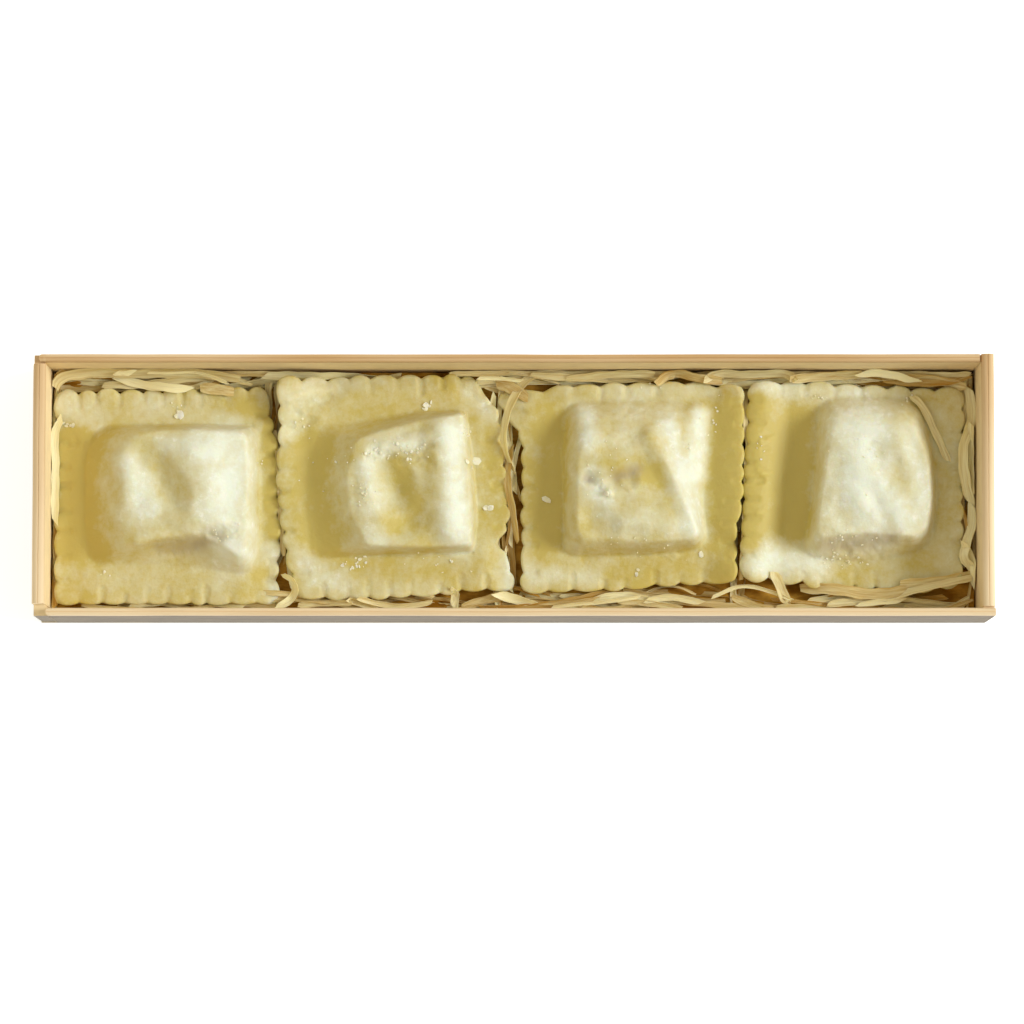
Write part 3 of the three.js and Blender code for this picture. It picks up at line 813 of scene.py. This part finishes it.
# The strips that lie on top: where each is seen, in points of the camera's picture, from one end to
# the other, its width, how high it is above what is under it, how it is rolled, and how pale it is.
laid = [
    ((62, 418), (55, 432), (51, 460), (50, 492), (53, 522), 2.2, 0.5, (10, -20, 10), 0.95),
    ((50, 388), (58, 381), (85, 373), (130, 366), (200, 370), (240, 379), 3.2, 3.5, (10, 45, 45), 0.6),
    ((117, 377), (140, 384), (165, 387), (190, 390), 2.4, 2, (0, 25, 10), 1),
    ((116, 370), (124, 363), (134, 365), 1.8, 5.5, (20, 50, 20), 1),
    ((148, 360), (165, 366), (200, 371), (228, 384), 0.8, 5, (20, 60, 20), 0.9),
    ((196, 361), (203, 372), (226, 382), 0.7, 5, (20, 50, 10), 0.9),
    ((200, 388), (216, 389), (234, 392), 3, 0.7, (5, 10, 5), 0.45),
    ((283, 574), (294, 583), (292, 598), (276, 606), 2.2, 1.6, (60, 30, -40), 0.95),
    ((478, 378), (500, 378), (522, 381), 1.2, 3.6, (30, 40, 30), 0.9),
    ((496, 384), (512, 388), (528, 398), 3.2, 0.8, (10, 20, 30), 0.35),
    ((572, 376), (548, 372), (532, 377), (514, 398), (506, 422), (505, 444), (514, 472),
     2.6, 1.2, (20, 30, 70), 0.7),
    ((512, 446), (508, 480), (513, 510), (518, 542), 2.2, 0.2, (50, 20, 60), 0.3),
    ((566, 379), (600, 375), (630, 373), (655, 374), 2.4, 2.6, (40, 40, 30), 0.6),
    ((656, 384), (672, 373), (700, 378), (722, 381), 2.6, 2.2, (20, 45, 20), 0.35),
    ((704, 380), (718, 371), (742, 374), (770, 366), (786, 374), (796, 381), 2.4, 3, (30, 40, 10), 0.7),
    ((790, 379), (825, 376), (862, 373), 2.8, 2.4, (30, 40, 35), 0.5),
    ((860, 372), (880, 372), (898, 376), (916, 382), 2.2, 4, (20, 20, 30), 1.25),
    ((898, 378), (930, 379), (966, 387), 2.8, 2.2, (35, 40, 20), 0.5),
    ((912, 396), (921, 405), (934, 430), (948, 461), 2, 0.2, (0, 0, 0), 0.75),
    ((969, 388), (976, 404), (975, 420), (963, 448), (965, 478), (971, 504),
     2.8, 1.4, (20, -30, 30), 0.85),
    ((976, 424), (981, 446), (976, 470), (972, 492), 2.4, 3, (50, 60, 50), 0.8),
    ((972, 504), (974, 524), (966, 546), (964, 556), (974, 570), (983, 586),
     2.6, 1.8, (30, 20, 60), 0.95),
    ((964, 542), (976, 560), (986, 577), 2, 3, (30, 40, 40), 0.95),
    ((985, 578), (930, 587), (880, 599), (828, 604), 2.2, 1.6, (20, 30, 10), 0.75),
    ((800, 588), (835, 589), (872, 594), (910, 590), 3.2, 0.4, (15, 20, 10), 0.45),
    ((900, 583), (940, 580), (978, 574), 2.4, 1, (20, 25, 20), 0.55),
    ((858, 604), (880, 602), (904, 600), 1.6, 2.4, (20, 20, 20), 1.1),
    ((774, 572), (780, 588), (787, 604), 2.8, 0.4, (0, 5, 0), 0.7),
    ((712, 597), (742, 586), (770, 591), (792, 600), 1.2, 2, (20, 40, 30), 0.9),
    ((732, 597), (748, 603), (764, 608), 2.2, 1.2, (10, 20, 20), 0.45),
    ((646, 600), (672, 597), (702, 603), 2, 1.8, (20, 30, 20), 0.95),
    ((618, 601), (648, 603), (682, 609), 1.8, 1.2, (20, 30, 30), 0.6),
    ((552, 607), (575, 604), (600, 602), (640, 597), 1.1, 2, (30, 40, 20), 0.9),
    ((497, 593), (512, 598), (532, 604), 2.8, 1.4, (10, 25, 35), 1.05),
    ((524, 601), (560, 603), (602, 598), 1.2, 1, (20, 30, 20), 0.35),
    ((455, 589), (455, 599), (454, 609), 2.4, 0.5, (5, 5, 5), 0.85),
    ((462, 607), (484, 600), (508, 594), 2.6, 0.8, (30, 30, 20), 0.5),
    ((348, 599), (362, 604), (378, 608), 1.8, 1, (20, 30, 20), 0.7),
    ((358, 598), (382, 604), (405, 606), (432, 602), 1.6, 1.6, (30, 20, 30), 0.7),
    ((298, 605), (325, 603), (352, 603), 1.8, 0.8, (10, 30, 10), 0.6),
    ((747, 382), (745, 412), (748, 446), 1.5, -1.7, (20, -20, 10), 0.5),
    ((749, 430), (746, 470), (748, 512), 1.2, -1.9, (-30, 20, 10), 0.7),
    ((746, 500), (744, 540), (741, 580), 1.6, -1.7, (20, -20, 30), 0.4),
    ((275, 430), (278, 465), (280, 500), 1.2, -1.7, (20, -30, 10), 0.6),
    ((280, 488), (281, 520), (284, 556), 1.4, -1.8, (-20, 20, 10), 0.45),
]


def fromView(u, v, height):
    # the place at this height, in millimetres, that the camera shows at this point of its picture
    span = view["sensor"] / view["lens"] / view["points"]
    middle = view["points"] / 2
    turn = bpy.context.scene.camera.rotation_euler.to_matrix()
    ray = turn @ Vector(((u - middle) * span, (middle - v) * span, -1))
    eye = Vector(view["place"]) / mm
    return eye + ray * ((height - eye.z) / ray.z)


def surfaceOf(pieces):
    # gives the height, in millimetres, and the slope of the highest surface at a place
    trees = []
    for piece in pieces:
        corners = [vert.co.copy() for vert in piece.data.vertices]
        trees.append(BVHTree.FromPolygons(corners, [face.vertices[:] for face in piece.data.polygons]))

    def surface(x, y):
        best = (bed["low"], Vector((0, 0, 1)))
        for tree in trees:
            hit, normal = tree.ray_cast(Vector((x * mm, y * mm, 0.1)), Vector((0, 0, -1)))[:2]
            if hit is not None and hit.z / mm > best[0]:
                best = (hit.z / mm, normal)
        return best

    return surface


def makeCore():
    clearSelection()
    x0, y0, x1, y1 = bed["room"]
    bpy.ops.mesh.primitive_grid_add(
        x_subdivisions=bed["grid"][0], y_subdivisions=bed["grid"][1], size=mm,
        location=((x0 + x1) / 2 * mm, (y0 + y1) / 2 * mm, bed["low"] * mm),
    )
    core = bpy.context.object
    core.name = "strip_heap"
    setMode("EDIT")
    selectAll()
    bpy.ops.transform.resize(value=(x1 - x0, y1 - y0, 1))
    extrude((bed["top"] - bed["low"]) * mm)
    nameGroup(core, "upper")
    faceOut()
    setMode("OBJECT")
    ruffle(core, bed["waves"], "upper")
    bpy.ops.object.shade_smooth()
    bpy.ops.object.transform_apply()
    return core


def spread(values, share):
    # the value at this share of the way along a few of them
    place = share * (len(values) - 1)
    base = min(int(place), len(values) - 2)
    return values[base] + (values[base + 1] - values[base]) * (place - base)


def layStrip(points, width, rolls, tone):
    # a strip of paper, modelled straight and then laid along a curve
    lay = bpy.data.curves.new("lay", "CURVE")
    lay.dimensions = "3D"
    lay.twist_mode = "Z_UP"
    spline = lay.splines.new("BEZIER")
    spline.bezier_points.add(len(points) - 1)
    for index, (node, point) in enumerate(zip(spline.bezier_points, points)):
        node.co = Vector(point) * mm
        node.handle_left_type = node.handle_right_type = "AUTO"
        node.tilt = math.radians(spread(rolls, index / (len(points) - 1)))
    guide = addObject("lay", lay)
    length = spline.calc_length() / mm

    clearSelection()
    steps = max(8, round(length / bed["step"]))
    bpy.ops.mesh.primitive_grid_add(
        x_subdivisions=steps, y_subdivisions=bed["across"], size=mm
    )
    strip = bpy.context.object
    setMode("EDIT")
    selectAll()
    bpy.ops.transform.resize(value=(length, width, 1))
    bpy.ops.transform.translate(value=(length / 2 * mm, 0, 0))
    setMode("OBJECT")
    sway, apart = bed["sway"]
    for vert in strip.data.vertices:
        across = 2 * vert.co.y / (width * mm)
        share = vert.co.x / (length * mm)
        end = abs(2 * share - 1) ** bed["endPower"]
        vert.co.x += bed["slant"] * (tone - 0.5) * vert.co.y
        vert.co.y *= 1 - bed["taper"] * end + sway * math.sin(share * length + apart * tone)
        vert.co.z = bed["cup"] * mm * across * across * (1 - end)
    useModifier(strip, "CURVE", object=guide, deform_axis="POS_X")
    useModifier(strip, "SOLIDIFY", thickness=bed["thick"] * mm, offset=0.0)
    bpy.data.objects.remove(guide)
    shade = strip.data.attributes.new("tone", "FLOAT", "POINT")
    shade.data.foreach_set("value", [tone] * len(strip.data.vertices))
    return strip


def joinAll(pieces, name):
    clearSelection()
    for piece in pieces:
        piece.select_set(True)
    bpy.context.view_layer.objects.active = pieces[0]
    bpy.ops.object.join()
    joined = bpy.context.object
    bpy.ops.object.transform_apply()
    joined.name = name
    return joined


def keepIn(x, y, margin):
    x0, y0, x1, y1 = bed["room"]
    return min(max(x, x0 + margin), x1 - margin), min(max(y, y0 + margin), y1 - margin)


def fillerStrips(surface, chance):
    # loose strips in the gaps that the ravioli leave
    strips = []
    for (ax, ay), (bx, by), count, heights in gaps:
        upright = by - ay > bx - ax
        for _ in range(count):
            x, y = chance.uniform(ax, bx), chance.uniform(ay, by)
            length = chance.uniform(*bed["length"])
            width = chance.uniform(*bed["width"])
            slope = math.pi / 2 * upright + chance.uniform(-bed["turn"], bed["turn"])
            bow = chance.uniform(-bed["bow"], bed["bow"])
            top = chance.uniform(*heights)
            points = []
            for share in (-0.5, -0.17, 0.17, 0.5):
                side = bow * (1 - 4 * share * share)
                px = x + length * share * math.cos(slope) - side * math.sin(slope)
                py = y + length * share * math.sin(slope) + side * math.cos(slope)
                px, py = keepIn(px, py, width / 2)
                height = top + chance.uniform(*bed["uneven"])
                if surface(px, py)[0] > bed["low"]:
                    height = min(height, bed["under"])
                points.append((px, py, height))
            rolls = [chance.uniform(-bed["roll"], bed["roll"]) for _ in range(3)]
            strips.append(layStrip(points, width, rolls, chance.uniform(*bed["tones"])))
    return strips


def laidStrips(surface):
    strips = []
    for *path, width, above, rolls, tone in laid:
        points = []
        for u, v in path:
            height = bed["rest"] + above
            for _ in range(3):
                place = fromView(u, v, height)
                x, y = keepIn(place.x, place.y, bed["wallGap"])
                around = [surface(x + dx, y + dy)[0] for dx in (-1, 0, 1) for dy in (-1, 0, 1)]
                height = max(around + [bed["rest"]]) + above
            points.append((x, y, height))
        strips.append(layStrip(points, width, rolls, tone))
    return strips


def makePaper():
    material, place = newMaterial("cutPaper", {
        "Specular IOR Level": 0.35, "Subsurface Weight": 0.3,
        "Subsurface Radius": (1.0, 0.7, 0.35), "Subsurface Scale": 0.001,
    })
    tone = place.attribute("tone")
    along = place.node("ShaderNodeVectorMath", None, {0: place.node("ShaderNodeUVMap"), 1: tone})
    fibre = along.noise(1.0, 3, 0.6, (3, 6, 1))
    body = (tone + (fibre - 0.5) * 1.3).shade(bed["paper"])
    return wire(material, (body, fibre.bump(0.4, 0.0003), 0.36 + fibre * 0.3))


def makeShadedHeap():
    # the core below the strips, coloured darker as painted shade deep in the pile
    material, place = newMaterial("paperHeapPaintedShade", {"Roughness": 0.8, "Specular IOR Level": 0.1})
    lumps = place.noise(260, 3, 0.6, (0.35, 1, 1))
    return wire(material, (lumps.step(0.3, 0.7).shade(bed["heap"]), lumps.bump(0.6, 0.001)))


print("strips")
chance = random.Random(bed["seed"])
paperFinish = makePaper()
core = makeCore()
finish(core, makeShadedHeap(), "paper_strip", "shred")
surface = surfaceOf(doughPieces)
heaps = {"strips_loose": fillerStrips(surface, chance), "strips_on_top": laidStrips(surface)}
for name, strips in heaps.items():
    heap = joinAll(strips, name)
    bpy.ops.object.shade_smooth_by_angle(angle=math.radians(50))
    finish(heap, paperFinish, "paper_strip", "shred")


# Crumbs and flakes of dough

crumbs = {
    "thick": 0.3,
    "corners": 7,
    "ragged": (0.75, 1.2),
    "warp": (-0.06, 0.1),
    "lowest": 10.0,  # none are kept below this
    "spread": 0.6,
    "sizes": (0.35, 1.15),
    "narrow": (0.45, 1),
    "flat": (0.6, 1.3),
    "tilt": 0.12,
    "sink": 0.05,
    "seed": 3,
    "colours": ((246, 238, 204), (254, 251, 234)),
}

# Where they are seen, in points of the camera's picture, their size, how many, and how far spread.
crumbPlaces = [
    ((475, 461), 3.2, 1, (0, 0)), ((470, 463), 1.4, 4, (5, 3)),
    ((179, 412), 1.9, 4, (3, 4)), ((176, 407), 0.8, 4, (4, 4)),
    ((68, 425), 1.4, 6, (6, 2)), ((425, 405), 1.5, 6, (6, 4)),
    ((345, 566), 1.0, 6, (4, 4)), ((359, 561), 1.1, 10, (7, 7)),
    ((547, 500), 3.0, 1, (0, 0)), ((640, 574), 1.7, 3, (4, 3)), ((701, 554), 2.0, 1, (0, 0)),
    ((490, 508), 2.0, 3, (6, 1)), ((607, 493), 1.6, 2, (1, 1)),
    ((104, 573), 0.8, 4, (5, 3)), ((225, 532), 0.55, 12, (12, 8)), ((258, 462), 0.7, 3, (4, 2)),
    ((468, 430), 0.8, 12, (5, 14)), ((395, 452), 0.9, 34, (34, 9)), ((362, 492), 0.7, 16, (8, 26)),
    ((430, 560), 0.8, 10, (30, 12)), ((318, 448), 0.4, 8, (30, 40)), ((600, 470), 0.5, 18, (24, 30)),
    ((640, 540), 0.5, 12, (28, 12)), ((716, 412), 0.7, 8, (4, 16)), ((690, 440), 0.6, 6, (14, 18)),
    ((816, 397), 0.5, 8, (9, 3)), ((838, 560), 0.8, 22, (24, 7)), ((850, 540), 0.6, 14, (22, 9)),
    ((905, 400), 0.8, 6, (8, 5)), ((860, 460), 0.4, 14, (30, 40)), ((600, 378), 0.8, 5, (12, 3)),
    ((655, 385), 0.9, 5, (14, 3)), ((300, 425), 0.7, 6, (8, 14)), ((760, 450), 0.6, 6, (4, 20)),
]


def makeFlake(chance):
    # one flake a millimetre across, which all the others are copies of
    clearSelection()
    bpy.ops.mesh.primitive_circle_add(vertices=crumbs["corners"], radius=mm / 2, fill_type="TRIFAN")
    flake = bpy.context.object
    setMode("EDIT")
    mesh = bmesh.from_edit_mesh(flake.data)
    for vert in mesh.verts:
        vert.co *= chance.uniform(*crumbs["ragged"])
        vert.co.z += chance.uniform(*crumbs["warp"]) * mm
    selectAll()
    extrude(crumbs["thick"] * mm)
    faceOut()
    setMode("OBJECT")
    return flake


def scatterCrumbs(surface, chance):
    flake = makeFlake(chance)
    spread, tilt = crumbs["spread"], crumbs["tilt"]
    pieces = []
    for (u, v), size, count, (du, dv) in crumbPlaces:
        for _ in range(count):
            spot = (u + chance.gauss(0, spread) * du, v + chance.gauss(0, spread) * dv)
            height = dough["flangeTop"]
            for _ in range(3):
                place = fromView(*spot, height)
                height, slope = surface(place.x, place.y)
            if height < crumbs["lowest"]:
                continue
            copy = addObject("crumb", flake.data.copy())
            across = size * (1 if count == 1 else chance.uniform(*crumbs["sizes"]))
            narrow, thick = chance.uniform(*crumbs["narrow"]), chance.uniform(*crumbs["flat"])
            copy.scale = (across, across * narrow, thick)
            turn = slope.to_track_quat("Z", "Y")
            lean = Vector((chance.gauss(0, tilt), chance.gauss(0, tilt), 1))
            turn.rotate(lean.rotation_difference((0, 0, 1)))
            copy.rotation_euler = turn.to_euler()
            copy.rotation_euler.rotate_axis("Z", chance.uniform(0, math.tau))
            copy.location = Vector((place.x, place.y, height - crumbs["sink"])) * mm
            pieces.append(copy)
    bpy.data.objects.remove(flake)
    return joinAll(pieces, "crumbs")


def makeCrumb():
    material, place = newMaterial("dryFlour", {
        "Specular IOR Level": 0.3, "Subsurface Weight": 0.4,
        "Subsurface Radius": (1.0, 0.8, 0.5), "Subsurface Scale": 0.001,
    })
    patch = place.noise(300, 2, 0.5)
    body = patch.step(0.35, 0.65).shade(crumbs["colours"])
    bump = place.noise(2500, 2, 0.5).bump(0.3, 0.0002)
    return wire(material, (body, bump, 0.55 + patch * 0.2))


print("crumbs")
scattered = scatterCrumbs(surface, random.Random(crumbs["seed"]))
finish(scattered, makeCrumb(), "dough")


# Tray

tray = {
    "length": 264, "width": 72, "height": 32, "floor": 1.6,
    "ends": 3.4, "back": 2.2, "front": 2.1,  # how thick the walls are
    "gap": 0.5,  # where two walls meet at a corner
    "frontGap": 1.2,  # wider at the front left one
    "cornerTop": 30.1,  # the corners are filled up to here
    "lowCorner": 27.0,  # and less at the front left
    "backEnd": 1.6,  # how far the back wall stops short of the left end
    "tuck": 0.2,  # how far the corners' filling reaches into the walls
    "round": 0.8,  # the share of a wall's half thickness that its top edges are rounded by
    "segments": 4,
    "groove": (0.34, 0.22),  # width and depth of the line along a rim, where the board is folded back
    "section": 5.0,
    "wave": ((30.0, 0.3),),
    "rim": 0.0297,  # in metres, where the walls' colour turns to wood
    "wood": ((201, 162, 110), (239, 217, 182)),
    # the inside is made nearly white as painted light on inner walls that little light reaches, the
    # outside dark grey brown as painted shade
    "card": ((248, 227, 186), (123, 112, 99)),  # inside and outside
    "fleck": (180, 164, 136),
}


def chooseEdges(wanted):
    bpy.ops.mesh.select_all(action="DESELECT")
    mesh = bmesh.from_edit_mesh(bpy.context.object.data)
    for edge in mesh.edges:
        edge.select = wanted(*(vert.co / mm for vert in edge.verts))
    bmesh.update_edit_mesh(bpy.context.object.data)


def makeBlock(x0, x1, y0, y1, low, top):
    clearSelection()
    bpy.ops.mesh.primitive_cube_add(
        size=mm,
        location=((x0 + x1) / 2 * mm, (y0 + y1) / 2 * mm, (low + top) / 2 * mm),
        scale=(x1 - x0, y1 - y0, top - low),
    )
    bpy.ops.object.transform_apply()
    return bpy.context.object


def makeWall(x0, x1, y0, y1, roundStart):
    # an upright board, with a fine line along its rim and its top edges rounded
    wall = makeBlock(x0, x1, y0, y1, tray["floor"] / 2, tray["height"])
    along = 0 if x1 - x0 > y1 - y0 else 1
    across = 1 - along
    start = (x0, y0)[along]
    middle = ((x0 + x1) / 2, (y0 + y1) / 2)[across]
    half = (x1 - x0, y1 - y0)[across] / 2
    setMode("EDIT")
    bpy.ops.mesh.select_mode(type="EDGE")
    chooseEdges(lambda a, b: abs(a[along] - b[along]) > 1)
    bpy.ops.mesh.subdivide(number_cuts=round((x1 - x0 + y1 - y0) / tray["section"]))
    width, depth = tray["groove"]
    side = Vector((along, across, 0))
    for shift in (-width / 2, 0, width / 2):
        selectAll()
        bpy.ops.mesh.bisect(plane_co=side * (middle + shift) * mm, plane_no=side)

    def isHigh(a, b):
        return min(a.z, b.z) > tray["height"] - 0.1

    def isAt(a, b, place):
        return abs(a[across] - place) < 0.05 and abs(b[across] - place) < 0.05

    chooseEdges(lambda a, b: isHigh(a, b) and isAt(a, b, middle))
    bpy.ops.transform.translate(value=(0, 0, -depth * mm))

    def isOuter(a, b):
        if not (isAt(a, b, middle - half) or isAt(a, b, middle + half)):
            return False
        upright = abs(a.z - b.z) > 1 and abs(a[along] - start) < 0.05
        return isHigh(a, b) or (roundStart and upright)

    chooseEdges(isOuter)
    bpy.ops.mesh.bevel(
        offset=half * tray["round"] * mm, segments=tray["segments"], affect="EDGES"
    )
    setMode("OBJECT")
    return wall


def makeTray():
    halfX, halfY = tray["length"] / 2, tray["width"] / 2
    left, right = -halfX + tray["ends"], halfX - tray["ends"]
    front, back = -halfY + tray["front"], halfY - tray["back"]
    gap, low, high = tray["gap"], tray["floor"] / 2, tray["cornerTop"]
    leftFront = front + tray["frontGap"]
    tuck = tray["tuck"]
    parts = [
        makeBlock(-halfX, halfX, -halfY, halfY, 0, tray["floor"]),
        makeWall(-halfX + tray["backEnd"], right - gap, back, halfY, True),
        makeWall(left + gap, halfX, -halfY, front, True),
        makeWall(-halfX, left, leftFront, back - gap, False),
        makeWall(right, halfX, front + gap, halfY, False),
        makeBlock(-halfX + tuck, left - tuck, back - gap - tuck, halfY - tuck, low, high),
        makeBlock(right - gap - tuck, right + tuck, back + tuck, halfY - tuck, low, high),
        makeBlock(right + tuck, halfX - tuck, front - tuck, front + gap + tuck, low, high),
        makeBlock(-halfX + tuck, left - tuck, -halfY + tuck, leftFront + tuck, low, tray["lowCorner"]),
        makeBlock(left - tuck, left + gap + tuck, -halfY + tuck, front - tuck, low, tray["lowCorner"]),
    ]
    piece = joinAll(parts, "board_tray")
    # marks the outer and under faces, which the board's material paints darker as painted shade
    outside = piece.data.attributes.new("outside", "FLOAT", "FACE")
    for face, value in zip(piece.data.polygons, outside.data):
        x, y = face.center.x / halfX, face.center.y / halfY
        out, normal = (x, face.normal.x) if abs(x) > abs(y) else (y, face.normal.y)
        value.value = float(math.copysign(1, out) * normal > 0.3 or face.normal.z < -0.3)
    for direction in "XY":
        ruffle(piece, tray["wave"], "", direction)
    bpy.ops.object.shade_smooth_by_angle(angle=math.radians(35))
    return piece


def makeBoard():
    material, place = newMaterial("foldedBoard", {"Specular IOR Level": 0.35})
    inner = tray["length"] / 2 - tray["ends"]
    end = place.node("ShaderNodeMath", {"operation": "ABSOLUTE"}, {0: place.axis("X")}).step(
        (inner - 0.2) * mm, inner * mm
    )
    endStreak, sideStreak = (place.noise(300, 4, 0.6, run) for run in ((1, 0.03, 1), (0.03, 1, 1)))
    streak = end * endStreak + (1 - end) * sideStreak
    patch = place.noise(18, 2, 0.5)
    side = tray["width"] / 2 * mm
    tone = streak * 1.6 + (patch - 0.5) * 0.8 - 0.42 + place.axis("Y").step(-side, side, 0.65, -0.1)
    fibre = place.noise(700, 3, 0.6, (0.3, 0.3, 1))
    # painted light on the inner faces and painted shade on the outer ones
    card = place.attribute("outside").shade(tray["card"])
    card = (fibre.step(0.3, 0.75) * 0.25).blend(card, colour(*tray["fleck"]))
    rim = place.axis("Z").step(tray["rim"], tray["rim"] + 0.0002)
    bump = (streak + fibre * 0.5).bump(0.35, 0.0003)
    return wire(material, (rim.blend(card, tone.shade(tray["wood"])), bump, 0.45 + streak * 0.3))


print("tray")
finish(makeTray(), makeBoard(), "board", "tray")
